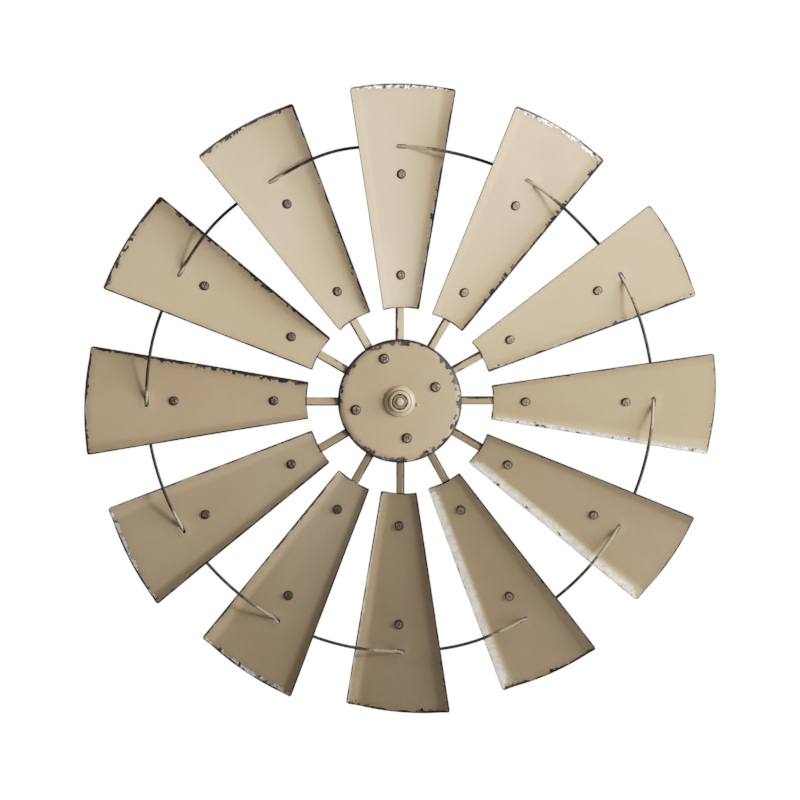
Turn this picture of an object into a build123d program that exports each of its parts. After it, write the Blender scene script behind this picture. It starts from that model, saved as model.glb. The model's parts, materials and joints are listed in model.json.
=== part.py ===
"""Garden windmill: the bladed wheel of a farm windmill, turning on a wall bracket.

Frame: +Z is up, +X is to the right of a person who faces the windmill and -Y points
towards that person. The origin is on the axle's line, in the face that rests on the wall.
Clock positions are counted as that person sees them, with 0 at the top.
"""

import os
from math import acos, cos, degrees, radians, sin, tan

from build123d import *

# ---- Driving dimensions, in millimetres and degrees ---------------------------------------

# Wheel
wheel_diameter = 762.0
blade_count = 12
blade_pitch = 24.0
wheel_gap = 42.0  # from the wall to the wheel's middle plane

# Blades: sheet panels, wider towards the tip, with both long edges bent forwards
sheet = 1.0
root_radius = 112.5
root_half_flat = 15.5
tip_half_flat = 56.1
root_flange = 8.8
tip_flange = 15.4
flange_bend = 20.0
bend_radius = 7.0
tip_corner = 3.5
root_corner = 2.0

# Spokes: flat bars behind the blades
spoke_width = 10.0
spoke_thickness = 3.0
spoke_start = 52.0
spoke_end = 288.0
spoke_corner = 2.0

# Ring: round wire threaded through a slot in every blade
ring_radius = 306.0
wire_diameter = 3.8
slot_length = 13.8
slot_width = 5.0

# Screws that hold the blades (M5) and the hub (M6)
blade_screw_radii = (152.0, 273.0)
blade_shank = 5.0
blade_head = 11.6
blade_head_height = 3.2
blade_screw_turn = 37.0  # each recess is turned on from the one before
blade_nut_flats = 8.0
blade_nut_height = 4.0
hub_shank = 6.0
hub_head = 12.2
hub_head_height = 3.4
hub_nut_flats = 10.0
hub_nut_height = 5.0
hub_screw_circle = 50.0
hub_screw_turn = -16.0
hub_screw_shift = (-5.0, 3.5)  # the pattern sits a little off the hub's centre
hub_screw_count = 4
screw_clearance = 0.15
thread_gap = 0.03
screw_proud = 1.5  # screw end that stands out of its nut

# Hub
hub_diameter = 150.0
hub_sheet = 1.5
hub_rim_width = 9.0
hub_rim_drop = 3.0
hub_rim_gap = 0.3
back_plate_diameter = 140.0
back_plate_thickness = 2.0
barrel_radius = 11.0
barrel_bore = 7.02
barrel_proud_front = 0.8
barrel_proud_back = 2.5
bush_radius = 7.0
bush_bore = 5.05
bush_length = 7.0
bush_flange_radius = 9.0
bush_flange = 1.5

# Boss: the bell-shaped cap round the axle nut, with a domed collar on a sloping skirt
boss_radius = 18.8
boss_lip = 0.8
boss_shoulder_radius = 14.2
boss_shoulder_height = 6.2
boss_step = 0.6
boss_collar_radius = 13.4
boss_height = 9.4
boss_opening = 9.7

# Axle, nut and washers (M10)
axle_radius = 5.0
axle_tip_round = 3.2
axle_tip_proud = 2.4
axle_nut_flats = 16.0
axle_nut_height = 5.0
washer_radius = 9.0
washer_bore = 5.25
washer_thickness = 1.5
end_float = 0.2

# Wall bracket
plate_diameter = 120.0
plate_thickness = 3.0
plate_hole_circle = 45.0
plate_hole_radius = 2.75
plate_hole_count = 4
stand_off_radius = 10.0
touch_gap = 0.05  # paint-thin gap between pieces that are welded or clamped

# ---- Worked-out places --------------------------------------------------------------------

pitch = radians(blade_pitch)
bend = radians(flange_bend)
tip_radius = wheel_diameter / 2
hub_radius = hub_diameter / 2

across_blade = Vector(cos(pitch), sin(pitch), 0)  # along a top blade's width
blade_front = Vector(sin(pitch), -cos(pitch), 0)  # out of a top blade's front face
panel_plane = Plane(origin=(0, 0, 0), x_dir=across_blade, z_dir=blade_front)

spoke_set_back = sheet / 2 + spoke_thickness / 2 + touch_gap
spoke_half_depth = (spoke_width * sin(pitch) + spoke_thickness * cos(pitch)) / 2
spoke_front = spoke_half_depth - spoke_set_back * cos(pitch)
spoke_back = -spoke_half_depth - spoke_set_back * cos(pitch)

# Places along the axle, as distances in front of the wheel's middle plane
hub_rim_radius = (hub_rim_width**2 + hub_rim_drop**2) / (2 * hub_rim_drop)
hub_rim_angle = degrees(acos(1 - hub_rim_drop / hub_rim_radius))
rim_centre = spoke_front + hub_rim_gap - (hub_rim_radius - hub_sheet) * cos(radians(hub_rim_angle))
hub_face = rim_centre + hub_rim_radius
back_plate_front = spoke_back - touch_gap
back_plate_back = back_plate_front - back_plate_thickness
barrel_front = hub_face + barrel_proud_front
barrel_back = back_plate_back - barrel_proud_back
front_washer_back = barrel_front + bush_flange + end_float
axle_nut_back = front_washer_back + washer_thickness + touch_gap
axle_tip = axle_nut_back + axle_nut_height + axle_tip_proud
rear_washer_front = barrel_back - bush_flange - end_float
stand_off_front = rear_washer_front - washer_thickness - touch_gap


def along(distance):
    """Return the Y place of a distance in front of the wheel's middle plane."""
    return -wheel_gap - distance


def facing_plane(distance):
    """Return the plane across the axle at such a distance; it faces forwards."""
    return Plane.XZ.offset(-along(distance))


def clock(position):
    """Return the place of a clock position, one step for each blade."""
    return Location((0, along(0), 0), (0, 360 / blade_count * position, 0))


def between(root_value, tip_value, radius):
    """Return the value at a radius, changing evenly from the blade's root to its tip."""
    share = (radius - root_radius) / (tip_radius - root_radius)
    return root_value + share * (tip_value - root_value)


def save(piece, name):
    """Label a finished piece and write it as its own file."""
    piece.part.label = name
    export_step(piece.part, f"parts/{name}.step")


# ---- Blades -------------------------------------------------------------------------------


def channel_face(radius, depth):
    """Return the corners of one face of the blade's channel section, from edge to edge."""
    half_flat = between(root_half_flat, tip_half_flat, radius)
    flange = between(root_flange, tip_flange, radius)
    corner = (half_flat + depth * tan(bend / 2), depth)
    edge = (
        half_flat + flange * cos(bend) + depth * sin(bend),
        depth * cos(bend) - flange * sin(bend),
    )
    return [(-edge[0], edge[1]), (-corner[0], corner[1]), corner, edge]


def channel_section(radius):
    """Return the blade's section, a shallow channel that opens forwards, at a radius."""
    section_plane = Plane(origin=(0, 0, radius), x_dir=across_blade, z_dir=(0, 0, 1))
    with BuildSketch(section_plane) as section:
        with BuildLine():
            front = FilletPolyline(*channel_face(radius, -sheet / 2), radius=bend_radius)
            back = FilletPolyline(*channel_face(radius, sheet / 2), radius=bend_radius + sheet)
            Line(front @ 0, back @ 0)
            Line(front @ 1, back @ 1)
        make_face()
    return section.sketch


trim = 10.0  # the channel runs past both ends of the blade before it is trimmed
with BuildPart() as blade_form:
    loft([channel_section(root_radius - trim), channel_section(tip_radius + trim)], ruled=True)
    with BuildSketch(panel_plane) as blade_plan:
        Circle(tip_radius)
        Circle(root_radius, mode=Mode.SUBTRACT)
    extrude(amount=2 * tip_flange, both=True, mode=Mode.INTERSECT)
    corners = blade_form.edges().filter_by(lambda edge: edge.length < 1.5 * sheet)
    corners = corners.sort_by(Axis.Z)
    fillet(corners[:2], root_corner)
    fillet(corners[2:], tip_corner)
    with BuildSketch(panel_plane) as blade_openings:
        with Locations(*[(0, radius) for radius in blade_screw_radii]):
            Circle(blade_shank / 2 + screw_clearance)
        with Locations((0, ring_radius)):
            SlotOverall(slot_length, slot_width)
    extrude(amount=2 * sheet, both=True, mode=Mode.SUBTRACT)

for position in range(blade_count):
    with BuildPart() as blade:
        with Locations(clock(position)):
            add(blade_form.part)
    save(blade, f"blade_{position + 1:02d}")

# ---- Spokes -------------------------------------------------------------------------------

spoke_plane = panel_plane.offset(-spoke_set_back)
with BuildPart() as spoke_form:
    with BuildSketch(spoke_plane) as spoke_plan:
        with Locations((0, (spoke_start + spoke_end) / 2)):
            Rectangle(spoke_width, spoke_end - spoke_start)
        fillet(spoke_plan.vertices().sort_by(Axis.Z)[2:], spoke_corner)
        with Locations(*[(0, radius) for radius in blade_screw_radii]):
            Circle(blade_shank / 2 + screw_clearance, mode=Mode.SUBTRACT)
    extrude(amount=spoke_thickness / 2, both=True)

for position in range(blade_count):
    with BuildPart() as spoke:
        with Locations(clock(position)):
            add(spoke_form.part)
    save(spoke, f"spoke_{position + 1:02d}")

# ---- Ring ---------------------------------------------------------------------------------

with BuildPart() as ring:
    with BuildSketch(Plane.XY) as ring_section:
        with Locations((ring_radius, along(0))):
            Circle(wire_diameter / 2)
    revolve(axis=Axis.Y)
save(ring, "ring")


# ---- Screws and nuts ----------------------------------------------------------------------


def pan_head_screw(shank, head, head_height, length):
    """Return a screw with a domed cross-recess head; its head rests on the XY plane."""
    straight_side = head_height / 4
    crown = (head / 2 * sin(radians(50)), head_height * 0.76)
    recess_length = head / 2
    recess_width = head / 8
    recess_turn = 45
    recess_floor = head_height * 0.55
    with BuildPart() as screw:
        with BuildSketch(Plane.XZ):
            with BuildLine():
                outline = Polyline(
                    (0, head_height), (0, -length), (shank / 2, -length), (shank / 2, 0),
                    (head / 2, 0), (head / 2, straight_side),
                )
                ThreePointArc(outline @ 1, crown, outline @ 0)
            make_face()
        revolve(axis=Axis.Z)
        with BuildSketch(Plane.XY.offset(recess_floor)):
            Rectangle(recess_length, recess_width, rotation=recess_turn)
            Rectangle(recess_width, recess_length, rotation=recess_turn)
        extrude(amount=head_height, mode=Mode.SUBTRACT)
    return screw.part


def hex_nut(flats, height, bore):
    """Return a nut that rests on the XY plane, with its corners turned off at both ends."""
    corner_radius = flats / 2 / cos(radians(30))
    corner_drop = (corner_radius - flats / 2) * tan(radians(30))
    with BuildPart() as nut:
        with BuildSketch():
            RegularPolygon(flats / 2, 6, major_radius=False)
            Circle(bore, mode=Mode.SUBTRACT)
        extrude(amount=height)
        with BuildSketch(Plane.XZ):
            with BuildLine():
                Polyline(
                    (0, 0), (flats / 2, 0), (corner_radius, corner_drop),
                    (corner_radius, height - corner_drop), (flats / 2, height), (0, height),
                    close=True,
                )
            make_face()
        revolve(axis=Axis.Z, mode=Mode.INTERSECT)
    return nut.part


blade_screw_length = sheet + touch_gap + spoke_thickness + blade_nut_height + screw_proud
blade_screw_form = pan_head_screw(blade_shank, blade_head, blade_head_height, blade_screw_length)
blade_nut_form = hex_nut(blade_nut_flats, blade_nut_height, blade_shank / 2 + thread_gap)
blade_nut_seat = sheet / 2 + touch_gap + spoke_thickness + blade_nut_height

screw_places = []
nut_places = []
for position in range(blade_count):
    for radius in blade_screw_radii:
        on_panel = clock(position) * panel_plane.location * Location((0, radius, 0))
        turn = blade_screw_turn * len(screw_places)
        screw_places.append(on_panel * Location((0, 0, sheet / 2), (0, 0, turn)))
        nut_places.append(on_panel * Location((0, 0, -blade_nut_seat), (0, 0, turn)))

with BuildPart() as blade_screws:
    with Locations(*screw_places):
        add(blade_screw_form)
save(blade_screws, "blade_screws")

with BuildPart() as blade_nuts:
    with Locations(*nut_places):
        add(blade_nut_form)
save(blade_nuts, "blade_nuts")

# ---- Hub plates ---------------------------------------------------------------------------


def hub_screw_points():
    """Return where the hub's screws are, seen from the front, as X and Z."""
    points = []
    for number in range(hub_screw_count):
        angle = radians(hub_screw_turn + 360 / hub_screw_count * number)
        x = hub_screw_circle * sin(angle) + hub_screw_shift[0]
        z = hub_screw_circle * cos(angle) + hub_screw_shift[1]
        points.append((x, z))
    return points


flat_radius = hub_radius - hub_rim_width
with BuildPart() as hub_front_plate:
    with BuildSketch(Plane.XY):
        with BuildLine():
            rim_point = (flat_radius, along(rim_centre))
            outside = CenterArc(rim_point, hub_rim_radius, -90, hub_rim_angle)
            inside = CenterArc(rim_point, hub_rim_radius - hub_sheet, -90, hub_rim_angle)
            Line(outside @ 1, inside @ 1)
            Polyline(
                outside @ 0,
                (barrel_radius + touch_gap, along(hub_face)),
                (barrel_radius + touch_gap, along(hub_face - hub_sheet)),
                inside @ 0,
            )
        make_face()
    revolve(axis=Axis.Y)
    with BuildSketch(Plane.XZ):
        with Locations(*hub_screw_points()):
            Circle(hub_shank / 2 + screw_clearance)
    extrude(amount=2 * wheel_gap, mode=Mode.SUBTRACT)
save(hub_front_plate, "hub_front_plate")

with BuildPart() as hub_back_plate:
    with BuildSketch(facing_plane(back_plate_back)):
        Circle(back_plate_diameter / 2)
        Circle(barrel_radius + touch_gap, mode=Mode.SUBTRACT)
        with Locations(*hub_screw_points()):
            Circle(hub_shank / 2 + screw_clearance, mode=Mode.SUBTRACT)
    extrude(amount=back_plate_thickness)
    chamfer(hub_back_plate.edges().sort_by(SortBy.LENGTH)[-2:], back_plate_thickness / 5)
save(hub_back_plate, "hub_back_plate")

hub_grip = hub_face - back_plate_back
hub_screw_form = pan_head_screw(
    hub_shank, hub_head, hub_head_height, hub_grip + hub_nut_height + screw_proud
)
hub_nut_form = hex_nut(hub_nut_flats, hub_nut_height, hub_shank / 2 + thread_gap)
nut_back = back_plate_back - hub_nut_height

screw_places = []
nut_places = []
for x, z in hub_screw_points():
    turn = hub_screw_turn * len(screw_places)
    screw_places.append(facing_plane(hub_face).location * Location((x, z, 0), (0, 0, turn)))
    nut_places.append(facing_plane(nut_back).location * Location((x, z, 0), (0, 0, turn)))

with BuildPart() as hub_screws:
    with Locations(*screw_places):
        add(hub_screw_form)
save(hub_screws, "hub_screws")

with BuildPart() as hub_nuts:
    with Locations(*nut_places):
        add(hub_nut_form)
save(hub_nuts, "hub_nuts")

# ---- Barrel, bushes and boss --------------------------------------------------------------


def turned_tube(outer, inner, back, front):
    """Return a tube round the axle, from its back place to its front place."""
    with BuildPart() as tube:
        with BuildSketch(facing_plane(back)):
            Circle(outer)
            Circle(inner, mode=Mode.SUBTRACT)
        extrude(amount=front - back)
    return tube.part


with BuildPart() as hub_barrel:
    add(turned_tube(barrel_radius, barrel_bore, barrel_back, barrel_front))
    outer_edges = hub_barrel.edges().filter_by(GeomType.CIRCLE).sort_by(SortBy.RADIUS)[-2:]
    chamfer(outer_edges, barrel_proud_front / 2)
save(hub_barrel, "hub_barrel")

with BuildPart() as front_bush:
    add(turned_tube(bush_radius, bush_bore, barrel_front - bush_length, barrel_front))
    add(turned_tube(bush_flange_radius, bush_bore, barrel_front, barrel_front + bush_flange))
save(front_bush, "front_bush")

with BuildPart() as rear_bush:
    add(turned_tube(bush_radius, bush_bore, barrel_back, barrel_back + bush_length))
    add(turned_tube(bush_flange_radius, bush_bore, barrel_back - bush_flange, barrel_back))
save(rear_bush, "rear_bush")

with BuildPart() as hub_boss:
    with BuildSketch(Plane.XY):
        with BuildLine():
            lip = Polyline(
                (barrel_radius + touch_gap, along(hub_face + touch_gap)),
                (boss_radius, along(hub_face + touch_gap)),
                (boss_radius, along(hub_face + boss_lip)),
            )
            skirt = ThreePointArc(
                lip @ 1,
                (boss_radius - 1.5, along(hub_face + boss_shoulder_height * 0.6)),
                (boss_shoulder_radius, along(hub_face + boss_shoulder_height)),
            )
            collar_foot = hub_face + boss_shoulder_height - boss_step
            step = Polyline(
                skirt @ 1,
                (boss_collar_radius, along(collar_foot)),
                (boss_collar_radius, along(collar_foot + 2 * boss_step)),
            )
            collar = ThreePointArc(
                step @ 1,
                (boss_collar_radius - 1.1, along(hub_face + boss_height - boss_lip)),
                (boss_opening, along(hub_face + boss_height)),
            )
            Polyline(
                collar @ 1,
                (boss_opening, along(barrel_front + touch_gap)),
                (barrel_radius + touch_gap, along(barrel_front + touch_gap)),
                lip @ 0,
            )
        make_face()
    revolve(axis=Axis.Y)
save(hub_boss, "hub_boss")

# ---- Axle, nut and washers ----------------------------------------------------------------

with BuildPart() as axle:
    with BuildSketch(Plane.XZ.offset(plate_thickness + touch_gap)):
        Circle(axle_radius)
    extrude(amount=-along(axle_tip) - plate_thickness - touch_gap)
    fillet(axle.edges().sort_by(Axis.Y)[0], axle_tip_round)
save(axle, "axle")

with BuildPart() as axle_nut:
    with Locations(facing_plane(axle_nut_back).location):
        add(hex_nut(axle_nut_flats, axle_nut_height, axle_radius + thread_gap))
save(axle_nut, "axle_nut")

with BuildPart() as front_washer:
    add(turned_tube(washer_radius, washer_bore, front_washer_back,
                    front_washer_back + washer_thickness))
save(front_washer, "front_washer")

with BuildPart() as rear_washer:
    add(turned_tube(washer_radius, washer_bore, rear_washer_front - washer_thickness,
                    rear_washer_front))
save(rear_washer, "rear_washer")

# ---- Wall bracket -------------------------------------------------------------------------

with BuildPart() as stand_off:
    add(turned_tube(stand_off_radius, axle_radius + thread_gap,
                    plate_thickness + touch_gap - wheel_gap, stand_off_front))
save(stand_off, "stand_off")

with BuildPart() as wall_plate:
    with BuildSketch(Plane.XZ):
        Circle(plate_diameter / 2)
        with PolarLocations(plate_hole_circle, plate_hole_count, start_angle=45):
            Circle(plate_hole_radius, mode=Mode.SUBTRACT)
    extrude(amount=plate_thickness)
    chamfer(wall_plate.faces().sort_by(Axis.Y)[0].outer_wire().edges(), plate_thickness / 4)
save(wall_plate, "wall_plate")
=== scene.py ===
"""Looks of the garden windmill: worn cream paint, sheet blades, wire ring, studio light."""

import json
import math

import bmesh
import bpy
from mathutils import Matrix, Vector, noise


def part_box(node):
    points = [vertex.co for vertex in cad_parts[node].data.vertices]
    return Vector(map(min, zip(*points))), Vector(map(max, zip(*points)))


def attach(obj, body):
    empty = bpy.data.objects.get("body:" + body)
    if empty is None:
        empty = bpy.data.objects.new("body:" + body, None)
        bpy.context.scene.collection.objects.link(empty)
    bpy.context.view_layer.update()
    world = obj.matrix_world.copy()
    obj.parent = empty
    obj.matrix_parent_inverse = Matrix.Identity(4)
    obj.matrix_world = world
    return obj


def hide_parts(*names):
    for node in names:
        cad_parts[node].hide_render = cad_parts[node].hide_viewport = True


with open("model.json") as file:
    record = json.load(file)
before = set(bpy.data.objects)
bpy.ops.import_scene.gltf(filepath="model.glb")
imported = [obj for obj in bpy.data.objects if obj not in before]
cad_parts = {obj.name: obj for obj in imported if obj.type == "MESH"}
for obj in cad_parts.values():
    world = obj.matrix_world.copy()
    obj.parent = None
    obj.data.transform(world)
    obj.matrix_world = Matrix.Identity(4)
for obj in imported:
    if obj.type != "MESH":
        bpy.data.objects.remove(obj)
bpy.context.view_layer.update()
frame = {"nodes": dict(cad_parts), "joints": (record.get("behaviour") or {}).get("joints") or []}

MM = 0.001
joint = frame["joints"][0]
wheel_y = joint["pos_m"][1]
spoke_nodes = sorted(name for name in frame["nodes"] if name.startswith("spoke_"))
blade_nodes = [name.replace("spoke", "blade") for name in spoke_nodes]
step_angle = math.tau / len(blade_nodes)

# ---- Sizes of the sheet metal, in metres and radians --------------------------------------

PITCH = math.radians(24)
FLANGE_BEND = math.radians(22.5)
FLANGE_SWAY = math.radians(2.0)  # how unevenly the flanges are bent
CAMBER = math.radians(1.3)  # the turn from the middle of a panel to its bends
WAVE_HEIGHT = 0.7 * MM
CALM_REACH = 14.0 * MM  # a panel is flat where it is screwed to its spoke
SHEET = 1.0 * MM
ROOT_RADIUS = 112.5 * MM
TIP_RADIUS = 381.0 * MM
ROOT_HALF_FLAT = 15.5 * MM
TIP_HALF_FLAT = 56.1 * MM
ROOT_FLANGE = 8.8 * MM
TIP_FLANGE = 15.4 * MM
EARLY_FLANGE_SHARE = 1.05  # the anticlockwise flange is the wider one
LATE_FLANGE_SHARE = 0.98
BEND_HALF_LENGTH = 3.6 * MM
TIP_CORNER = 3.5 * MM
ROOT_CORNER = 2.0 * MM

RING_RADIUS = 306.0 * MM
WIRE_RADIUS = 1.9 * MM
SLOT_HALF_LENGTH = 6.9 * MM
SLOT_HALF_WIDTH = 1.92 * MM  # paint has closed the slot in round the wire

SLOT_SWELL = 1.1 * MM  # the metal and paint stand out round the slot
SLOT_SWELL_REACH = 4.0 * MM

SPOKE_WIDTH = 10.0 * MM
SPOKE_THICKNESS = 3.0 * MM
SPOKE_SET_BACK = 2.05 * MM
SPOKE_START = 52.0 * MM
SPOKE_END = 288.0 * MM

BLADE_SCREW_RADII = (152.0 * MM, 273.0 * MM)
BLADE_SCREW_SEAT = SHEET / 2
BLADE_NUT_SEAT = -7.55 * MM  # the nut's outer face, behind the blade's middle plane
BLADE_NUT_HALF_FLATS = 4.0 * MM
BLADE_NUT_HEIGHT = 4.0 * MM
SCREW_TURN = math.radians(37)  # each screw and nut is turned on from the one before
HUB_SCREW_CIRCLE = 50.0 * MM
HUB_SCREW_TURN = math.radians(-16)
HUB_SCREW_SHIFT = Vector((-5.0 * MM, 0, 3.5 * MM))
HUB_SCREW_COUNT = 4

across = Vector((math.cos(PITCH), math.sin(PITCH), 0))
front = Vector((math.sin(PITCH), -math.cos(PITCH), 0))


def clock_matrix(position):
    """Return the turn and shift that take the top blade to another clock position."""
    turn = Matrix.Rotation(step_angle * position, 4, "Y")
    return Matrix.Translation((0, wheel_y, 0)) @ turn


def between(low, high, share):
    return low + (high - low) * share


def smooth(low, high, value):
    share = min(1.0, max(0.0, (value - low) / (high - low)))
    return share * share * (3 - 2 * share)


# ---- Node materials -----------------------------------------------------------------------


class Shader:
    """A short way to write a node material."""

    def __init__(self, name):
        self.material = bpy.data.materials.new(name)
        self.material.use_nodes = True
        self.tree = self.material.node_tree
        self.surface = self.tree.nodes["Principled BSDF"]
        self.place = self.node("ShaderNodeTexCoord").outputs["Object"]

    def node(self, kind, **settings):
        made = self.tree.nodes.new(kind)
        for key, value in settings.items():
            setattr(made, key, value)
        return made

    def feed(self, socket, value):
        if isinstance(value, bpy.types.NodeSocket):
            self.tree.links.new(value, socket)
        elif isinstance(value, (tuple, list)) and len(value) == 3 and socket.type == "RGBA":
            socket.default_value = (*value, 1)
        else:
            socket.default_value = value

    def math(self, operation, first, second=0.0, clamp=False):
        made = self.node("ShaderNodeMath", operation=operation, use_clamp=clamp)
        self.feed(made.inputs[0], first)
        self.feed(made.inputs[1], second)
        return made.outputs[0]

    def ease(self, value, low, high, start=0.0, end=1.0):
        """Return value mapped smoothly from low..high to start..end."""
        made = self.node("ShaderNodeMapRange", interpolation_type="SMOOTHSTEP")
        self.feed(made.inputs["Value"], value)
        self.feed(made.inputs["From Min"], low)
        self.feed(made.inputs["From Max"], high)
        self.feed(made.inputs["To Min"], start)
        self.feed(made.inputs["To Max"], end)
        return made.outputs["Result"]

    def noise(self, size, detail=2.0, roughness=0.5, stretch=(1, 1, 1), distortion=0.0):
        """Return a noise whose grains are about size metres across."""
        scaled = self.node("ShaderNodeMapping")
        self.feed(scaled.inputs["Vector"], self.place)
        scaled.inputs["Scale"].default_value = stretch
        made = self.node("ShaderNodeTexNoise")
        self.feed(made.inputs["Vector"], scaled.outputs[0])
        made.inputs["Scale"].default_value = 1 / size
        made.inputs["Detail"].default_value = detail
        made.inputs["Roughness"].default_value = roughness
        made.inputs["Distortion"].default_value = distortion
        return made.outputs["Fac"]

    def attribute(self, name):
        return self.node("ShaderNodeAttribute", attribute_name=name).outputs["Fac"]

    def mix(self, share, first, second, blend="MIX"):
        made = self.node("ShaderNodeMix", data_type="RGBA", blend_type=blend)
        self.feed(made.inputs["Factor"], share)
        self.feed(made.inputs[6], first)
        self.feed(made.inputs[7], second)
        return made.outputs[2]

    def level(self, share, first, second):
        made = self.node("ShaderNodeMix", data_type="FLOAT")
        self.feed(made.inputs["Factor"], share)
        self.feed(made.inputs[2], first)
        self.feed(made.inputs[3], second)
        return made.outputs[0]

    def bump(self, height, distance, strength=1.0, below=None):
        made = self.node("ShaderNodeBump")
        self.feed(made.inputs["Height"], height)
        made.inputs["Distance"].default_value = distance
        made.inputs["Strength"].default_value = strength
        if below is not None:
            self.feed(made.inputs["Normal"], below)
        return made.outputs["Normal"]

    def finish(self, color, roughness, metallic=0.0, normal=None):
        self.feed(self.surface.inputs["Base Color"], color)
        self.feed(self.surface.inputs["Roughness"], roughness)
        self.feed(self.surface.inputs["Metallic"], metallic)
        if normal is not None:
            self.feed(self.surface.inputs["Normal"], normal)
        return self.material


CREAM = (0.585, 0.436, 0.265)
CREAM_WARM = (0.555, 0.402, 0.232)
PRIMER = (0.022, 0.018, 0.020)
RUST = (0.16, 0.085, 0.055)
# Dirt at worn edges, and painted shade where paint is made darker
SOIL_AND_SHADE = (0.27, 0.18, 0.12)
SILVER = (0.42, 0.43, 0.47)
# Pale bare metal, partly a painted glint
WHITE_METAL_AND_GLINT = (0.97, 0.93, 0.90)
# Painted shade where a screw or nut meets what it holds
CREVICE_SHADE = (0.035, 0.026, 0.020)
# Chalky paint, and painted light where paint is made lighter
CHALK_AND_LIGHT = (1.0, 0.86, 0.68)
# Pale worn paint, partly painted light
FROST_AND_LIGHT = (1.0, 0.92, 0.78)
MOTTLE = (0.62, 0.53, 0.40)


def worn_paint(name, cream=CREAM, warm=CREAM_WARM):
    """Cream enamel over dark primer, worn as the mesh's own wear values say; its lightening and
    darkening, its pale edge bands and its pale metal are partly painted light and shade.
    """
    s = Shader(name)
    rim = s.attribute("rim")
    line = s.attribute("line")
    chip = s.attribute("chip")
    cover = s.attribute("cover")
    bright = s.attribute("bright")
    film_and_light = s.attribute("film_and_light")
    broad = s.noise(0.040, 2)
    patch = s.noise(0.0065, 3, 0.6, distortion=0.4)
    fray = s.noise(0.0019, 3, 0.55)
    fray_depth = s.math("MULTIPLY", s.math("SUBTRACT", fray, 0.5), 0.0030)

    # Chips, as far in from the edge as the wear value allows and in patches
    more = s.math("MULTIPLY", s.math("SUBTRACT", cover, 0.5), 0.5)
    spread = s.ease(s.math("ADD", broad, more), 0.42, 0.62)
    blotch = s.ease(s.math("ADD", patch, s.math("MULTIPLY", more, 0.5)), 0.40, 0.64)
    depth = s.math("MULTIPLY", s.math("MULTIPLY", spread, blotch), chip)
    allowed = s.ease(chip, 0.0, 0.0012)
    depth = s.math("ADD", depth, s.math("MULTIPLY", fray_depth, allowed))
    inside = s.math("SUBTRACT", depth, rim)
    chipped = s.ease(inside, -0.00008, 0.00022)

    # The dark line along the sheet's own edge
    wander = s.noise(0.018, 3)
    line_depth = s.math("MULTIPLY", line, s.ease(wander, 0.32, 0.62, 0.45, 1.25))
    line_depth = s.math("ADD", line_depth, s.math("MULTIPLY", fray_depth, 0.35))
    lined = s.ease(s.math("SUBTRACT", line_depth, rim), -0.0002, 0.0003)
    lined = s.math("MULTIPLY", lined, s.ease(line, 0.0, 0.0003))

    # Where primer has gone as well, the metal is pale and speckled; its near-white patches are partly
    # a painted glint
    glint = s.noise(0.0070, 3, 0.5, distortion=0.4)
    pale_metal_and_glint = s.math("MULTIPLY", s.ease(glint, 0.38, 0.48), bright, clamp=True)
    speck = s.ease(s.noise(0.0020, 2, 0.6), 0.46, 0.72, 0.0, 0.9)

    tone = s.noise(0.11, 2)
    mottle = s.noise(0.012, 4, 0.65)
    paint = s.mix(s.ease(tone, 0.3, 0.7, 0.0, 0.8), cream, warm)
    paint = s.mix(s.ease(mottle, 0.3, 0.75, 0.0, 0.10), paint, MOTTLE)
    # Paint made lighter or darker as the mesh says: partly chalk and dust, partly painted light and
    # shade
    cloud = s.ease(s.noise(0.030, 3), 0.3, 0.7, 0.75, 1.25)
    chalk_and_light = s.math("MULTIPLY", film_and_light, cloud, clamp=True)
    paint = s.mix(chalk_and_light, paint, CHALK_AND_LIGHT)
    dust_and_shade = s.math("MULTIPLY", film_and_light, s.math("MULTIPLY", cloud, -1.0), clamp=True)
    paint = s.mix(dust_and_shade, paint, SOIL_AND_SHADE)
    grime = s.math("MULTIPLY", s.ease(rim, 0.0, 0.013, 1.0, 0.0), s.ease(patch, 0.30, 0.65, 0.35, 1.0))
    grime = s.math("MULTIPLY", grime, s.ease(line, 0.0006, 0.0030, 0.15, 0.62))
    paint = s.mix(s.math("MULTIPLY", grime, allowed), paint, SOIL_AND_SHADE)
    # A pale band along the brightest edges: partly worn paint, partly painted light
    frost_and_light_depth = s.math("MULTIPLY", s.math("SUBTRACT", bright, 1.0, clamp=True), 0.022)
    frost_and_light_depth = s.math("ADD", frost_and_light_depth, s.math("MULTIPLY", fray_depth, 1.5))
    frost_and_light = s.ease(s.math("SUBTRACT", frost_and_light_depth, rim), 0.0, 0.0075)
    streak = s.ease(s.noise(0.006, 3, 0.6, distortion=0.5), 0.30, 0.62, 0.35, 1.0)
    paint = s.mix(s.math("MULTIPLY", frost_and_light, streak), paint, FROST_AND_LIGHT)

    rusty = s.noise(0.009, 3, 0.6)
    under = s.mix(s.ease(rusty, 0.46, 0.66, 0.0, 0.8), PRIMER, RUST)
    pale = s.mix(speck, WHITE_METAL_AND_GLINT, SILVER)
    under = s.mix(pale_metal_and_glint, under, pale)
    color = s.mix(chipped, paint, under)
    color = s.mix(lined, color, s.mix(s.ease(rusty, 0.5, 0.7, 0.0, 0.6), PRIMER, RUST))

    bare = s.math("MAXIMUM", chipped, lined)
    satin = s.ease(mottle, 0.2, 0.8, 0.46, 0.60)
    roughness = s.level(bare, satin, s.level(pale_metal_and_glint, 0.62, 0.42))
    peel = s.noise(0.0022, 2, 0.5)
    normal = s.bump(peel, 0.00003, 0.5)
    normal = s.bump(s.math("SUBTRACT", 1.0, bare), 0.00025, 0.8, normal)
    s.surface.inputs["Specular IOR Level"].default_value = 0.3
    return s.finish(color, roughness, 0.0, normal)


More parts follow.
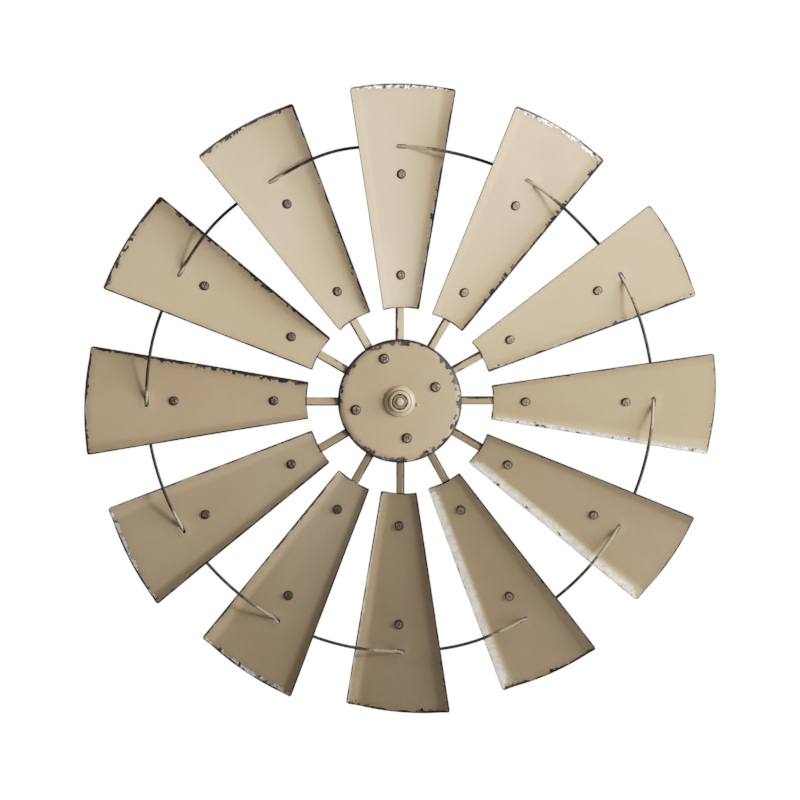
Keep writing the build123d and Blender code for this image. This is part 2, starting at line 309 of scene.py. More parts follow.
def wire_paint():
    """Dark wire, with cream paint left where the mesh says so."""
    s = Shader("ring_wire")
    painted = s.attribute("painted")
    patch = s.noise(0.010, 3, 0.65)
    fray = s.noise(0.0022, 3, 0.6)
    keep = s.math("ADD", s.math("MULTIPLY", s.math("SUBTRACT", patch, 0.5), 1.6), painted)
    keep = s.math("ADD", keep, s.math("MULTIPLY", s.math("SUBTRACT", fray, 0.5), 0.5))
    cream = s.ease(keep, 0.50, 0.80)
    brown = s.ease(keep, 0.05, 0.50)
    color = s.mix(brown, (0.014, 0.011, 0.011), (0.15, 0.095, 0.065))
    color = s.mix(cream, color, (0.42, 0.345, 0.25))
    normal = s.bump(cream, 0.0002, 0.8)
    return s.finish(color, s.level(cream, 0.55, 0.42), 0.0, normal)


def aged_steel(name, light, dark, rough=0.45, metallic=0.8, shade_reach=0.0):
    """Old fastener steel: brown film, scuffs and pitting, and painted shade where pieces meet."""
    s = Shader(name)
    patch = s.noise(0.0035, 4, 0.65)
    fine = s.noise(0.0009, 2, 0.5)
    color = s.mix(s.ease(patch, 0.35, 0.68), light, dark)
    color = s.mix(s.ease(fine, 0.55, 0.8, 0.0, 0.6), color, (0.03, 0.02, 0.018))
    # Painted shade: darker where ambient occlusion finds pieces meeting
    if shade_reach:
        hollow = s.node("ShaderNodeAmbientOcclusion", samples=8)
        hollow.inputs["Distance"].default_value = shade_reach
        color = s.mix(s.ease(hollow.outputs["AO"], 0.35, 0.80, 0.9, 0.0), color, CREVICE_SHADE)
    normal = s.bump(patch, 0.00015, 0.6)
    normal = s.bump(fine, 0.00005, 0.6, normal)
    return s.finish(color, s.ease(patch, 0.3, 0.7, rough, rough + 0.2), metallic, normal)


def screw_paint():
    """Cream paint gone brown on a screw head, browner towards the left of the wheel, with painted
    shade in black round its edge and in its recess.
    """
    s = Shader("screw_paint")
    rim = s.attribute("rim")
    deep = s.attribute("deep")
    patch = s.noise(0.0035, 4, 0.65)
    fine = s.noise(0.0009, 2, 0.5)
    # Screw heads are made browner towards the left of the wheel
    split = s.node("ShaderNodeSeparateXYZ")
    s.feed(split.inputs["Vector"], s.place)
    browner_to_left = s.ease(split.outputs["X"], -0.12, 0.16, 0.10, -0.12)
    brown = s.ease(s.math("ADD", patch, browner_to_left), 0.36, 0.64)
    color = s.mix(brown, (0.46, 0.345, 0.225), (0.12, 0.082, 0.056))
    color = s.mix(s.ease(fine, 0.5, 0.8, 0.0, 0.4), color, (0.06, 0.04, 0.03))
    # Painted shade: black round the edge of the head and in its recess
    ragged = s.math("ADD", rim, s.math("MULTIPLY", s.math("SUBTRACT", patch, 0.5), 0.0012))
    color = s.mix(s.ease(ragged, 0.0009, 0.0025, 0.97, 0.0), color, (0.018, 0.013, 0.011))
    color = s.mix(s.math("MULTIPLY", deep, 0.4), color, (0.035, 0.025, 0.018))
    normal = s.bump(patch, 0.00015, 0.6)
    normal = s.bump(fine, 0.00005, 0.6, normal)
    return s.finish(color, s.ease(patch, 0.3, 0.7, 0.36, 0.55), 0.1, normal)


def crevice_paint(name, cream, warm, hollow_shade):
    """Cream enamel brushed over turned pieces, darkened unevenly in its hollows by ambient occlusion:
    painted shade with some dirt.
    """
    s = Shader(name)
    hollow = s.node("ShaderNodeAmbientOcclusion", samples=8)
    hollow.inputs["Distance"].default_value = 0.008
    mottle = s.noise(0.006, 4, 0.65)
    chip = s.noise(0.004, 3, 0.6)
    paint = s.mix(s.ease(mottle, 0.3, 0.7, 0.0, 0.7), cream, warm)
    uneven = s.math("MULTIPLY", s.math("SUBTRACT", s.noise(0.007, 3, 0.6), 0.5), 0.9)
    # Painted shade with some dirt: darker where ambient occlusion finds a hollow
    shade_in_hollows = s.ease(s.math("ADD", hollow.outputs["AO"], uneven), 0.30, 0.95, hollow_shade, 0.0)
    paint = s.mix(shade_in_hollows, paint, (0.055, 0.040, 0.026))
    bare = s.ease(chip, 0.68, 0.71)
    color = s.mix(bare, paint, PRIMER)
    normal = s.bump(mottle, 0.0002, 0.5)
    return s.finish(color, s.ease(mottle, 0.2, 0.8, 0.20, 0.32), 0.0, normal)


def bronze():
    s = Shader("bush_bronze")
    pores = s.noise(0.0005, 2, 0.6)
    patch = s.noise(0.004, 3, 0.6)
    color = s.mix(s.ease(patch, 0.3, 0.7), (0.42, 0.27, 0.12), (0.26, 0.16, 0.07))
    return s.finish(color, 0.5, 0.9, s.bump(pores, 0.00004, 0.6))


paint_for_blades = worn_paint("blade_paint")
paint_for_spokes = worn_paint("spoke_paint", (0.55, 0.40, 0.24), (0.49, 0.35, 0.20))
paint_for_hub = worn_paint("hub_paint", (0.565, 0.417, 0.256), (0.537, 0.387, 0.228))
paint_for_boss = crevice_paint("boss_paint", (0.68, 0.52, 0.34), (0.61, 0.455, 0.285), 0.95)
paint_for_nut = crevice_paint("nut_paint", (0.34, 0.25, 0.16), (0.22, 0.155, 0.10), 1.0)
paint_for_wire = wire_paint()
paint_for_screws = screw_paint()
steel_screws = aged_steel("screw_steel", (0.46, 0.36, 0.25), (0.21, 0.145, 0.10), 0.45, 0.1, 0.0022)
steel_bare = aged_steel("bare_steel", (0.46, 0.45, 0.43), (0.30, 0.28, 0.26), 0.38, 0.9)
primer_bracket = aged_steel("bracket_paint", (0.060, 0.048, 0.040), (0.030, 0.024, 0.022), 0.5, 0.1)
bush_bronze = bronze()

# ---- Making pieces ------------------------------------------------------------------------


def make_piece(name, mesh_maker, material, node):
    """Build a piece with bmesh, in the row frame, in place of a CAD node of the wheel."""
    mesh = bpy.data.meshes.new(name)
    work = bmesh.new()
    mesh_maker(work)
    bmesh.ops.recalc_face_normals(work, faces=work.faces)
    work.to_mesh(mesh)
    work.free()
    for polygon in mesh.polygons:
        polygon.use_smooth = True
    mesh.materials.append(material)
    piece = bpy.data.objects.new(name, mesh)
    bpy.context.scene.collection.objects.link(piece)
    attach(piece, joint["child"])
    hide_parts(node)
    return piece


def join_loops(work, loops):
    """Join each loop of vertices to the next one with a band of faces."""
    for low, high in zip(loops, loops[1:]):
        for number in range(len(low)):
            follow = (number + 1) % len(low)
            work.faces.new((low[number], low[follow], high[follow], high[number]))


def round_edges(piece, width):
    """Round the sharp edges of a piece with a bevel."""
    rounded = piece.modifiers.new("edges", "BEVEL")
    rounded.width = width
    rounded.segments = 2
    rounded.limit_method = "ANGLE"
    rounded.angle_limit = math.radians(40)


def float_layers(work, *names):
    return [work.verts.layers.float.new(name) for name in names]


class Wear:
    """How an edge has worn: its dark line, its chips, how many and how pale they are."""

    def __init__(self, line, chip, cover, bright):
        self.line = line * MM
        self.chip = chip * MM
        self.cover = cover
        self.bright = bright


SOUND = Wear(line=0.4, chip=1.5, cover=0.20, bright=0.0)
THIN = Wear(line=1.5, chip=3.6, cover=0.36, bright=0.0)
DARK = Wear(line=2.4, chip=6.0, cover=0.62, bright=0.0)
STAINED = Wear(line=2.0, chip=3.8, cover=0.42, bright=0.0)
BLACK = Wear(line=3.1, chip=6.5, cover=0.66, bright=0.0)
FLECKED = Wear(line=2.2, chip=5.5, cover=0.66, bright=0.55)
PALE = Wear(line=2.0, chip=6.5, cover=0.74, bright=1.0)
# The next three also lay a pale band along their edge: partly worn paint, partly painted light
FROSTED = Wear(line=0.5, chip=5.5, cover=0.70, bright=1.35)
WHITENED = Wear(line=0.5, chip=4.5, cover=0.60, bright=1.6)
CLOUDED = Wear(line=1.3, chip=3.0, cover=0.30, bright=1.25)
# Spoke wear also paints the narrow sides dark: painted shade, with some wear
SPOKE_SIDE = Wear(line=0.7, chip=1.6, cover=0.30, bright=0.0)
SPOKE_AT_HUB = Wear(line=0.9, chip=3.5, cover=0.50, bright=0.0)
SPOKE_SHADED_SIDE = Wear(line=1.8, chip=3.6, cover=0.55, bright=0.0)
HUB_RIM = Wear(line=2.4, chip=8.0, cover=0.66, bright=0.06)
SLOT_LIP = Wear(line=0.7, chip=0.0, cover=0.0, bright=0.0)
WEAR_LAYERS = ("rim", "line", "chip", "cover", "bright")


def set_wear(vert, layers, rim, wear):
    """Write a vertex's distance to the edge and that edge's wear."""
    values = (rim, wear.line, wear.chip, wear.cover, wear.bright)
    for layer, value in zip(layers, values):
        vert[layer] = value


# Blades

# The wear of each blade's tip, clockwise side and anticlockwise side
BLADE_WEAR = [
    (PALE, FLECKED, SOUND),
    (PALE, DARK, SOUND),
    (THIN, FLECKED, SOUND),
    (THIN, FROSTED, THIN),
    (THIN, WHITENED, THIN),
    (DARK, WHITENED, THIN),
    (DARK, CLOUDED, THIN),
    (PALE, STAINED, THIN),
    (PALE, THIN, STAINED),
    (DARK, BLACK, THIN),
    (BLACK, DARK, THIN),
    (BLACK, FLECKED, SOUND),
]


# How much lighter (above 0) or darker (below 0) each blade's paint is made by the hub and by the tip:
# partly chalk and dust, partly painted light and shade
BLADE_FILM_AND_LIGHT = (
    (0.10, 0.0),
    (0.0, 0.08),
    (0.04, 0.02),
    (0.0, 0.0),
    (0.0, -0.10),
    (0.0, -0.08),
    (-0.15, -0.28),
    (0.24, 0.0),
    (0.10, 0.06),
    (-0.20, -0.08),
    (-0.13, 0.05),
    (-0.06, 0.09),
)
HUB_FILM_AND_LIGHT_START = 140.0 * MM  # the lightening or darkening changes from the one value to the other between these
TIP_FILM_AND_LIGHT_START = 300.0 * MM

# How many degrees clockwise of even spacing each blade has been set
BLADE_LEAN = (0.3, 0.5, 0.7, 0.2, 0.5, 0.7, 0.1, -0.4, -0.5, -0.1, 0.5, 0.2)


def leaning_place(position):
    """Return the clock turn of a blade together with that blade's own small lean."""
    return clock_matrix(position) @ Matrix.Rotation(math.radians(BLADE_LEAN[position]), 4, "Y")


def slot_share():
    """Return the slot's half length as a share of the flat's half width there."""
    return SLOT_HALF_LENGTH / (half_flat_at(RING_RADIUS) - 2 * BEND_HALF_LENGTH)


def blade_columns():
    """Return the blade's columns as (share of the flat, share of the flange, set-off)."""
    bend_length = 2 * BEND_HALF_LENGTH
    half = [(0.0, 0.0, 0.0), (slot_share() * 0.8, 0.0, 0.0), (slot_share(), 0.0, 0.0)]
    for number in range(1, 8):
        half.append((between(slot_share(), 1.0, number / 7), 0.0, 0.0))
    for number in range(1, 9):
        half.append((1.0, 0.0, number / 4 * bend_length))
    for number in range(1, 4):
        half.append((1.0, number / 3, 2 * bend_length))
    left = [(-flat, -flange, -set_off) for flat, flange, set_off in reversed(half[1:])]
    return left + half


def half_flat_at(radius):
    share = (radius - ROOT_RADIUS) / (TIP_RADIUS - ROOT_RADIUS)
    return between(ROOT_HALF_FLAT, TIP_HALF_FLAT, share)


def flange_at(radius, side):
    """Return the width of the clockwise flange (side 1) or the anticlockwise one (side -1)."""
    share = (radius - ROOT_RADIUS) / (TIP_RADIUS - ROOT_RADIUS)
    width = between(ROOT_FLANGE, TIP_FLANGE, share)
    return width * (LATE_FLANGE_SHARE if side > 0 else EARLY_FLANGE_SHARE)


def channel_point(distance, half_flat, bend):
    """Return the offsets across and forwards of a point on the channel section."""
    start = half_flat - BEND_HALF_LENGTH
    bend_radius = 2 * BEND_HALF_LENGTH / bend
    if distance < start:
        return distance, 0.0
    turned = min(bend, (distance - start) / bend_radius)
    straight = max(0.0, distance - start - 2 * BEND_HALF_LENGTH)
    x = start + bend_radius * math.sin(turned) + straight * math.cos(bend)
    forward = bend_radius * (1 - math.cos(turned)) + straight * math.sin(bend)
    return x, forward


def camber_at(x, half_flat):
    """Return how far forwards the slight hollow of the panel brings a point of it."""
    if x < half_flat:
        return CAMBER * x**2 / (2 * half_flat)
    return CAMBER * (x - half_flat / 2)


def rounding(distance, radius):
    """Return how far a rounded corner draws the side in, near the end of the blade."""
    if distance >= radius:
        return 0.0
    return radius - math.sqrt(max(0.0, radius**2 - (radius - distance) ** 2))


def column_point(arc, column, side, seed):
    """Return where a column crosses an arc round the axle.

    The four values are the distance across from the middle, forwards, up, and along the
    sheet to its side edge.
    """
    flat_share, flange_share, set_off = column
    bend_zone = 2 * BEND_HALF_LENGTH
    height = arc
    for _ in range(3):
        half_flat = half_flat_at(height)
        flange = flange_at(height, side)
        reach = half_flat + flange
        distance = abs(flat_share) * (half_flat - bend_zone)
        distance += abs(set_off) + abs(flange_share) * (flange - bend_zone)
        draw_in = max(
            rounding(arc - ROOT_RADIUS, ROOT_CORNER),
            rounding(TIP_RADIUS - arc, TIP_CORNER),
        )
        distance *= 1 - draw_in / reach
        sway = noise.noise(seed + Vector((height * 9, side * 4, 0)))
        x, forward = channel_point(distance, half_flat, FLANGE_BEND + FLANGE_SWAY * sway)
        height = math.sqrt(max(0.0, arc**2 - x**2))
    forward += camber_at(x, half_flat)
    return x, forward, height, max(0.0, reach - distance)


def unevenness(x, height, seed):
    """Return how far forwards a hand-made sheet stands at a point of it."""
    calm = 1 - math.exp(-((x / CALM_REACH) ** 2))
    wave = noise.noise(seed + Vector((x * 22, height * 11, 2)))
    return WAVE_HEIGHT * wave * calm


def distance_to_slot(x, arc):
    past_end = max(0.0, abs(x) - SLOT_HALF_LENGTH)
    past_side = max(0.0, abs(arc - RING_RADIUS) - SLOT_HALF_WIDTH)
    return math.hypot(past_end, past_side)


def blade_rows():
    """Return the distances from the axle of the blade's rows, closer together at its ends."""
    rows = [ROOT_RADIUS + ROOT_CORNER * share for share in (0, 0.08, 0.3, 0.6, 1)]
    first = ROOT_RADIUS + ROOT_CORNER
    last = RING_RADIUS - SLOT_HALF_WIDTH
    rows += [between(first, last, number / 36) for number in range(1, 37)]
    rows.append(RING_RADIUS)
    first = RING_RADIUS + SLOT_HALF_WIDTH
    last = TIP_RADIUS - TIP_CORNER
    rows += [between(first, last, number / 14) for number in range(15)]
    rows += [TIP_RADIUS - TIP_CORNER * share for share in (0.6, 0.3, 0.08, 0)]
    return rows


def make_blade(position):
    """Build one blade: a bent, slotted sheet that was made by hand."""
    tip_wear, late_wear, early_wear = BLADE_WEAR[position]
    film_and_light_at_hub, film_and_light_at_tip = BLADE_FILM_AND_LIGHT[position]
    columns = blade_columns()
    slot_edge = slot_share()
    rows = blade_rows()
    place = leaning_place(position)
    seed = Vector((17.0 * position, 3.1, 5.7))

    def maker(work):
        layers = float_layers(work, *WEAR_LAYERS)
        film_and_light_layer = float_layers(work, "film_and_light")[0]
        grid = []
        for arc in rows:
            at_slot_side = abs(abs(arc - RING_RADIUS) - SLOT_HALF_WIDTH) < 1e-6
            film_and_light_share = smooth(HUB_FILM_AND_LIGHT_START, TIP_FILM_AND_LIGHT_START, arc)
            line = []
            for column in columns:
                side = 1 if column[0] >= 0 else -1
                x, forward, height, to_side = column_point(arc, column, side, seed)
                x *= side
                forward += unevenness(x, height, seed)
                at_slot_end = abs(abs(column[0]) - slot_edge) < 1e-6
                if at_slot_end and at_slot_side:
                    height += (RING_RADIUS - arc) * 0.6  # the slot's ends are rounded
                to_slot = distance_to_slot(x, arc)
                forward += SLOT_SWELL * math.exp(-((to_slot / SLOT_SWELL_REACH) ** 2))
                point = across * x + Vector((0, 0, height)) + front * forward
                vert = work.verts.new(place @ point)
                edges = [
                    (TIP_RADIUS - arc, tip_wear),
                    (to_side * 0.985, late_wear if side > 0 else early_wear),
                    (arc - ROOT_RADIUS, THIN),
                    (to_slot, SLOT_LIP),
                ]
                rim, wear = min(edges, key=lambda edge: edge[0])
                set_wear(vert, layers, rim, wear)
                vert[film_and_light_layer] = between(film_and_light_at_hub, film_and_light_at_tip, film_and_light_share)
                line.append(vert)
            grid.append(line)
        middle = len(columns) // 2
        for i in range(len(rows) - 1):
            in_slot = abs((rows[i] + rows[i + 1]) / 2 - RING_RADIUS) < SLOT_HALF_WIDTH
            for j in range(len(columns) - 1):
                if in_slot and middle - 2 <= j <= middle + 1:
                    continue
                work.faces.new((grid[i][j], grid[i][j + 1], grid[i + 1][j + 1], grid[i + 1][j]))
        loose = [vert for vert in work.verts if not vert.link_faces]
        bmesh.ops.delete(work, geom=loose, context="VERTS")

    node = blade_nodes[position]
    piece = make_piece(f"sheet_{node}", maker, paint_for_blades, node)
    sheet = piece.modifiers.new("sheet", "SOLIDIFY")
    sheet.thickness = SHEET
    sheet.offset = 0
    sheet.use_even_offset = True
    round_edges(piece, 0.28 * MM)
    return piece


for position in range(len(blade_nodes)):
    make_blade(position)

# Spokes


SPOKES_WITH_SHADED_SIDE = range(5)  # their anticlockwise sides are painted darker: painted shade, with some wear
SPOKE_HUB_END = 92.0 * MM


def make_spoke(position):
    """Build one flat spoke with rounded corners, its narrow sides painted dark: painted shade, with
    some wear.
    """
    place = leaning_place(position)
    seed = Vector((5.3 * position, 8.8, 1.2))
    corner = 0.45 * MM
    half_w = SPOKE_WIDTH / 2
    half_t = SPOKE_THICKNESS / 2
    outline = []
    for side in (1, -1):
        for share in (-1.0, -0.5, 0.0, 0.5, 1.0):
            reach = half_w - corner
            depth = abs(share) * reach
            outline.append((side * share * reach, side * half_t, half_w - depth))
        outline.append((side * half_w, side * (half_t - corner), 0.0))
        outline.append((side * half_w, side * (corner - half_t), 0.0))
    steps = 48

    def maker(work):
        layers = float_layers(work, *WEAR_LAYERS)
        loops = []
        for number in range(steps + 1):
            height = between(SPOKE_START, SPOKE_END, number / steps)
            sway = 0.25 * MM * noise.noise(seed + Vector((height * 14, 0, 0)))
            loop = []
            for x, forward, depth in outline:
                point = across * (x + sway) + Vector((0, 0, height))
                point += front * (forward - SPOKE_SET_BACK)
                vert = work.verts.new(place @ point)
                wear = SPOKE_AT_HUB if height < SPOKE_HUB_END else SPOKE_SIDE
                # Painted shade: the anticlockwise sides of these spokes are made darker
                if x < 0 and position in SPOKES_WITH_SHADED_SIDE:
                    wear = SPOKE_SHADED_SIDE
                set_wear(vert, layers, depth, wear)
                loop.append(vert)
            loops.append(loop)
        join_loops(work, loops)
        work.faces.new(loops[0][::-1])
        work.faces.new(loops[-1])

    node = spoke_nodes[position]
    return make_piece(f"bar_{node}", maker, paint_for_spokes, node)


for position in range(len(spoke_nodes)):
    make_spoke(position)

# Ring


# How far past each slot the wire has kept its cream paint, in millimetres
WIRE_PAINT_REACH = (44, 34, 42, 40, 48, 42, 36, 34, 16, 9, 8, 10)


# How far the wire bows outwards between a blade and the next one, in millimetres
WIRE_BOW = (-1, -2, -0.5, -0.5, 0, 1.5, 0.5, 0, 0, 1, 2.5, 4)


def make_ring():
    """Build the wire ring, a little uneven, and mark where paint is left on it."""
    around = 960
    sides = 14

    def maker(work):
        painted_layer = float_layers(work, "painted")[0]
        loops = []
        for number in range(around):
            angle = math.tau * number / around
            out = Vector((math.sin(angle), 0, math.cos(angle)))
            drift = noise.noise(Vector((out.x * 3, out.z * 3, 7)))
            rise = noise.noise(Vector((out.x * 3, out.z * 3, 19)))
            gap, share_of_gap = divmod(angle / step_angle, 1)
            bow = WIRE_BOW[int(gap) % len(WIRE_BOW)] * math.sin(math.pi * share_of_gap) ** 2
            radius = RING_RADIUS + 0.45 * MM * drift + bow * MM
            turn = (angle + step_angle / 2) % step_angle - step_angle / 2
            past_slot = turn * RING_RADIUS
            slot = round((angle - turn) / step_angle) % len(WIRE_PAINT_REACH)
            paint_reach = WIRE_PAINT_REACH[slot] * MM
            share = smooth(-9 * MM, -3 * MM, past_slot)
            share *= smooth(1.4 * paint_reach + 12 * MM, 0.4 * paint_reach, past_slot)
            loop = []
            for side in range(sides):
                way = math.tau * side / sides
                point = out * (radius + WIRE_RADIUS * math.cos(way))
                point.y = wheel_y + 0.3 * MM * rise + WIRE_RADIUS * math.sin(way)
                vert = work.verts.new(point)
                vert[painted_layer] = share
                loop.append(vert)
            loops.append(loop)
        join_loops(work, loops + loops[:1])

    return make_piece("wire_ring", maker, paint_for_wire, "ring")


make_ring()

# Hub plate


def make_hub_plate():
    """Build the front hub plate, its rim rolled back, with a drip of paint by the boss."""
    low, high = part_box("hub_front_plate")
    plate_radius = (high.x - low.x) / 2
    face_y = low.y
    sheet = 1.5 * MM
    rim_width = 9.0 * MM
    rim_drop = 3.0 * MM
    roll = (rim_width**2 + rim_drop**2) / (2 * rim_drop)
    roll_angle = math.acos(1 - rim_drop / roll)
    bore = 11.1 * MM
    flat = plate_radius - rim_width
    outside = []
    inside = []
    for number in range(14):
        radius = between(bore, flat, number / 14)
        outside.append((radius, face_y))
        inside.append((radius, face_y + sheet))
    for number in range(9):
        turned = roll_angle * number / 8
        for path, size in ((outside, roll), (inside, roll - sheet)):
            path.append((flat + size * math.sin(turned), face_y + roll - size * math.cos(turned)))
    profile = outside + inside[::-1]
    around = 192
    drip_radius = 2.3 * MM
    drip_angle = math.radians(101)
    drip_place = Vector((math.sin(drip_angle), 0, math.cos(drip_angle))) * 21.8 * MM
    drip_place.y = face_y

    def maker(work):
        layers = float_layers(work, *WEAR_LAYERS)
        film_and_light_layer = float_layers(work, "film_and_light")[0]
        loops = []
        for number in range(around):
            angle = math.tau * number / around
            out = Vector((math.sin(angle), 0, math.cos(angle)))
            loop = []
            for radius, y in profile:
                wave = noise.noise(Vector((out.x * radius * 30, out.z * radius * 30, 3)))
                point = out * radius
                point.y = y + 0.25 * MM * wave
                vert = work.verts.new(point)
                set_wear(vert, layers, max(0.0, plate_radius - radius), HUB_RIM)
                # Painted light and shade: the hub plate's paint is made lighter towards the right and
                # a little darker at the left
                vert[film_and_light_layer] = between(-0.02, 0.10, point.x / plate_radius)
                loop.append(vert)
            loops.append(loop)
        join_loops(work, loops + loops[:1])
        flatten = Matrix.Translation(drip_place) @ Matrix.Diagonal((1, 0.7, 1, 1))
        drip = bmesh.ops.create_uvsphere(
            work, u_segments=20, v_segments=12, radius=drip_radius, matrix=flatten
        )
        for vert in drip["verts"]:
            set_wear(vert, layers, plate_radius, HUB_RIM)

    piece = make_piece("pressed_hub_plate", maker, paint_for_hub, "hub_front_plate")
    round_edges(piece, 0.35 * MM)
    return piece


make_hub_plate()

# Screws


def add_screw(work, layers, place, head, head_height, shank, length, turn):
    """Add one cross-recess screw whose domed head sits on the XY plane of place."""
    around = 40
    straight = head_height * 0.3
    profile = [(head * number / 14, None) for number in range(1, 14)]
    profile += [(head, straight), (head, 0.0), (shank, 0.0), (shank, -length)]
    loops = []
    for radius, height in profile:
        loop = []
        for number in range(around):
            angle = math.tau * number / around
            x = radius * math.cos(angle)
            y = radius * math.sin(angle)
            sunk = 0.0
            level = height
            if height is None:
                level = straight + (head_height - straight) * (1 - (radius / head) ** 2.4)
                across_arm = min(abs(x), abs(y))
                in_arm = smooth(head * 0.20, head * 0.10, across_arm)
                sunk = in_arm * smooth(head * 0.58, head * 0.46, radius)
            point = Vector((x, y, level - sunk * head_height * 0.32))
            vert = work.verts.new(place @ Matrix.Rotation(turn, 4, "Z") @ point)
            vert[layers[0]] = head - radius if level > 0 else 0.0
            vert[layers[1]] = sunk
            loop.append(vert)
        loops.append(loop)
    centre = work.verts.new(place @ Vector((0, 0, head_height * 0.68)))
    centre[layers[0]] = head
    centre[layers[1]] = 1.0
    for number in range(around):
        work.faces.new((centre, loops[0][(number + 1) % around], loops[0][number]))
    join_loops(work, loops)
    work.faces.new(loops[-1][::-1])


def facing_place(origin, toward, up):
    """Return the place at origin whose Z points toward and whose Y is as near up as it can be."""
    side = up.cross(toward).normalized()
    place = Matrix((side, toward.cross(side), toward)).transposed().to_4x4()
    place.translation = origin
    return place


def blade_screw_places(forward):
    """Return the places of the blades' screws, this far in front of the sheets' middle."""
    places = []
    for position in range(len(blade_nodes)):
        for radius in BLADE_SCREW_RADII:
            origin = Vector((0, 0, radius)) + front * forward
            on_blade = facing_place(origin, front, Vector((0, 0, 1)))
            places.append(leaning_place(position) @ on_blade)
    return places


def make_blade_screws():
    """Build the 24 screws that hold the blades to their spokes."""
    head = 5.8 * MM
    head_height = 3.2 * MM
    shank = 2.5 * MM
    length = 9.5 * MM

    def maker(work):
        layers = float_layers(work, "rim", "deep")
        for number, place in enumerate(blade_screw_places(BLADE_SCREW_SEAT)):
            turn = 0.7 + SCREW_TURN * number
            add_screw(work, layers, place, head, head_height, shank, length, turn)

    return make_piece("blade_screw_set", maker, paint_for_screws, "blade_screws")


def add_nut(work, place, half_flats, height, bore, turn):
    """Add one hexagon nut, its corners turned off, that stands on the XY plane of place."""
    around = 24
    loops = []
    for share, outer in ((0, False), (0, True), (0.12, True), (0.88, True), (1, True), (1, False)):
        loop = []
        for number in range(around):
            angle = math.tau * number / around
            radius = bore
            if outer:
                off_flat = (angle + math.pi / 6) % (math.pi / 3) - math.pi / 6
                radius = half_flats / math.cos(off_flat)
                if share in (0, 1):
                    radius = min(radius, half_flats * 1.03)
            point = Vector((radius * math.cos(angle), radius * math.sin(angle), share * height))
            loop.append(work.verts.new(place @ Matrix.Rotation(turn, 4, "Z") @ point))
        loops.append(loop)
    join_loops(work, loops + loops[:1])


def make_blade_nuts():
    """Build the 24 nuts behind the spokes."""

    def maker(work):
        for number, place in enumerate(blade_screw_places(BLADE_NUT_SEAT)):
            turn = SCREW_TURN * number
            add_nut(work, place, BLADE_NUT_HALF_FLATS, BLADE_NUT_HEIGHT, 2.53 * MM, turn)

    piece = make_piece("blade_nut_set", maker, steel_screws, "blade_nuts")
    for polygon in piece.data.polygons:
        polygon.use_smooth = False
    return piece


def make_hub_screws():
    """Build the four screws that hold the two hub plates together."""
    plate_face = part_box("hub_front_plate")[0].y
    screw_low, screw_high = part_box("hub_screws")
    head = 6.1 * MM
    shank = 3.0 * MM
    head_height = plate_face - screw_low.y
    length = screw_high.y - plate_face

    def maker(work):
        layers = float_layers(work, "rim", "deep")
        for number in range(HUB_SCREW_COUNT):
            angle = HUB_SCREW_TURN + math.tau * number / HUB_SCREW_COUNT
            origin = Vector((math.sin(angle), 0, math.cos(angle))) * HUB_SCREW_CIRCLE
            origin += HUB_SCREW_SHIFT
            origin.y = plate_face
            place = facing_place(origin, Vector((0, -1, 0)), Vector((0, 0, 1)))
            add_screw(work, layers, place, head, head_height, shank, length, 0.6 + 0.9 * number)

    return make_piece("hub_screw_set", maker, paint_for_screws, "hub_screws")


make_blade_screws()
make_blade_nuts()
make_hub_screws()

# ---- Materials of the CAD pieces that stay ------------------------------------------------

kept_looks = {
    "hub_boss": paint_for_boss,
    "axle": paint_for_boss,
    "axle_nut": paint_for_nut,
    "front_washer": steel_bare,
    "rear_washer": steel_bare,
    "hub_barrel": steel_bare,
    "hub_back_plate": primer_bracket,
    "hub_nuts": steel_screws,
    "front_bush": bush_bronze,
    "rear_bush": bush_bronze,
    "stand_off": primer_bracket,
    "wall_plate": primer_bracket,
}
for node_name, look in kept_looks.items():
    mesh = frame["nodes"][node_name].data
    mesh.materials.clear()
    mesh.materials.append(look)

# ---- Floor, light and camera --------------------------------------------------------------

FLOOR_DROP = 1.35
BACKDROP = 1.6  # how bright the floor and the surround look to the camera


def make_floor():
    mesh = bpy.data.meshes.new("floor")
    reach = 30.0
    corners = [(-reach, -reach), (reach, -reach), (reach, reach), (-reach, reach)]
    mesh.from_pydata([(x, y, -FLOOR_DROP) for x, y in corners], [], [(0, 1, 2, 3)])
    floor = bpy.data.objects.new("floor", mesh)
    bpy.context.scene.collection.objects.link(floor)
    s = Shader("floor_white")
    grain = s.noise(0.5, 3)
    color = s.mix(s.ease(grain, 0.3, 0.7), (0.86, 0.86, 0.86), (0.90, 0.90, 0.90))
    s.finish(color, 0.9)
    seen = s.node("ShaderNodeLightPath").outputs["Is Camera Ray"]
    s.surface.inputs["Emission Color"].default_value = (1, 1, 1, 1)
    s.feed(s.surface.inputs["Emission Strength"], s.math("MULTIPLY", seen, BACKDROP))
    mesh.materials.append(s.material)


def make_world(strength):
    """A white surround that the camera sees bright and the object sees dimmer."""
    world = bpy.data.worlds.new("surround")
    bpy.context.scene.world = world
    world.use_nodes = True
    tree = world.node_tree
    background = tree.nodes["Background"]
    path = tree.nodes.new("ShaderNodeLightPath")
    level = tree.nodes.new("ShaderNodeMapRange")
    level.inputs["To Min"].default_value = strength
    level.inputs["To Max"].default_value = BACKDROP
    tree.links.new(path.outputs["Is Camera Ray"], level.inputs["Value"])
    tree.links.new(level.outputs["Result"], background.inputs["Strength"])
    background.inputs["Color"].default_value = (1, 1, 1, 1)


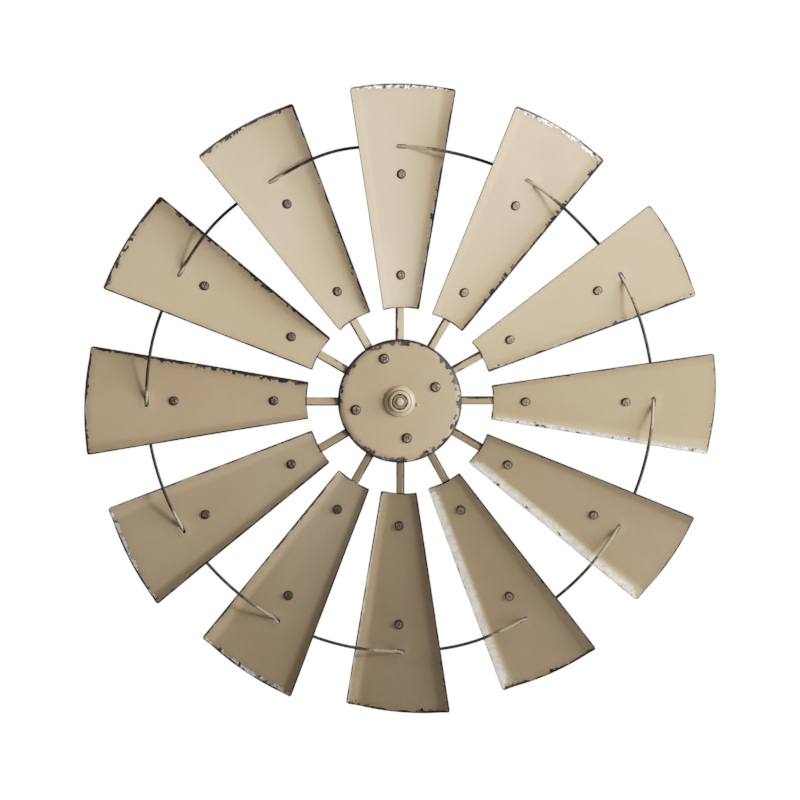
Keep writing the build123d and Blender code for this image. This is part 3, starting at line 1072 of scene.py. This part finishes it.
def make_light(name, azimuth, elevation, distance, size, power, color=(1.0, 1.0, 1.0)):
    """Add a soft light that faces the hub; azimuth 0 is the viewer's own side."""
    data = bpy.data.lights.new(name, "AREA")
    data.shape = "RECTANGLE"
    data.size = size[0]
    data.size_y = size[1]
    data.energy = power
    data.color = color
    light = bpy.data.objects.new(name, data)
    bpy.context.scene.collection.objects.link(light)
    a = math.radians(azimuth)
    e = math.radians(elevation)
    back = Vector((math.sin(a) * math.cos(e), -math.cos(a) * math.cos(e), math.sin(e)))
    light.location = Vector((0, wheel_y, 0)) + back * distance
    light.rotation_mode = "QUATERNION"
    light.rotation_quaternion = (-back).to_track_quat("-Z", "Y")


def make_camera():
    distance = 3.4
    elevation = math.radians(5.0)
    aim = Vector((0.0002, wheel_y, 0.0010))
    data = bpy.data.cameras.new("camera")
    data.sensor_width = 36.0
    data.lens = 126.7
    camera = bpy.data.objects.new("camera", data)
    bpy.context.scene.collection.objects.link(camera)
    back = Vector((0, -math.cos(elevation), math.sin(elevation)))
    camera.location = aim + back * distance
    camera.rotation_mode = "QUATERNION"
    camera.rotation_quaternion = (-back).to_track_quat("-Z", "Y")
    data.clip_end = 100
    bpy.context.scene.camera = camera


# Scene brightness and the brightness it is shown with
TONE_POINTS = ((0.35, 0.345), (0.6, 0.515), (0.85, 0.617), (1.1, 0.71), (BACKDROP, 1.0))


def set_tone():
    """Bend the bright end of the picture's tones over softly, as a camera does."""
    view = bpy.context.scene.view_settings
    view.view_transform = "Standard"
    view.use_curve_mapping = True
    view.curve_mapping.clip_max_x = 3.0
    curve = view.curve_mapping.curves[3]
    curve.points[1].location = (3.0, 1.1)
    for place, level in TONE_POINTS:
        curve.points.new(place, level)
    view.curve_mapping.update()


make_floor()
make_world(0.02)
make_light("key", 46, 16, 3.0, (0.45, 0.45), 40)
make_light("right_wall", 65, 8, 2.2, (1.2, 1.6), 67)
make_light("fill", -43, 14, 3.0, (0.8, 0.8), 4)
make_light("top", 20, 60, 2.0, (1.2, 1.2), 3.5)
make_light("back", 160, 20, 3.0, (1.6, 1.6), 30)
make_camera()
set_tone()
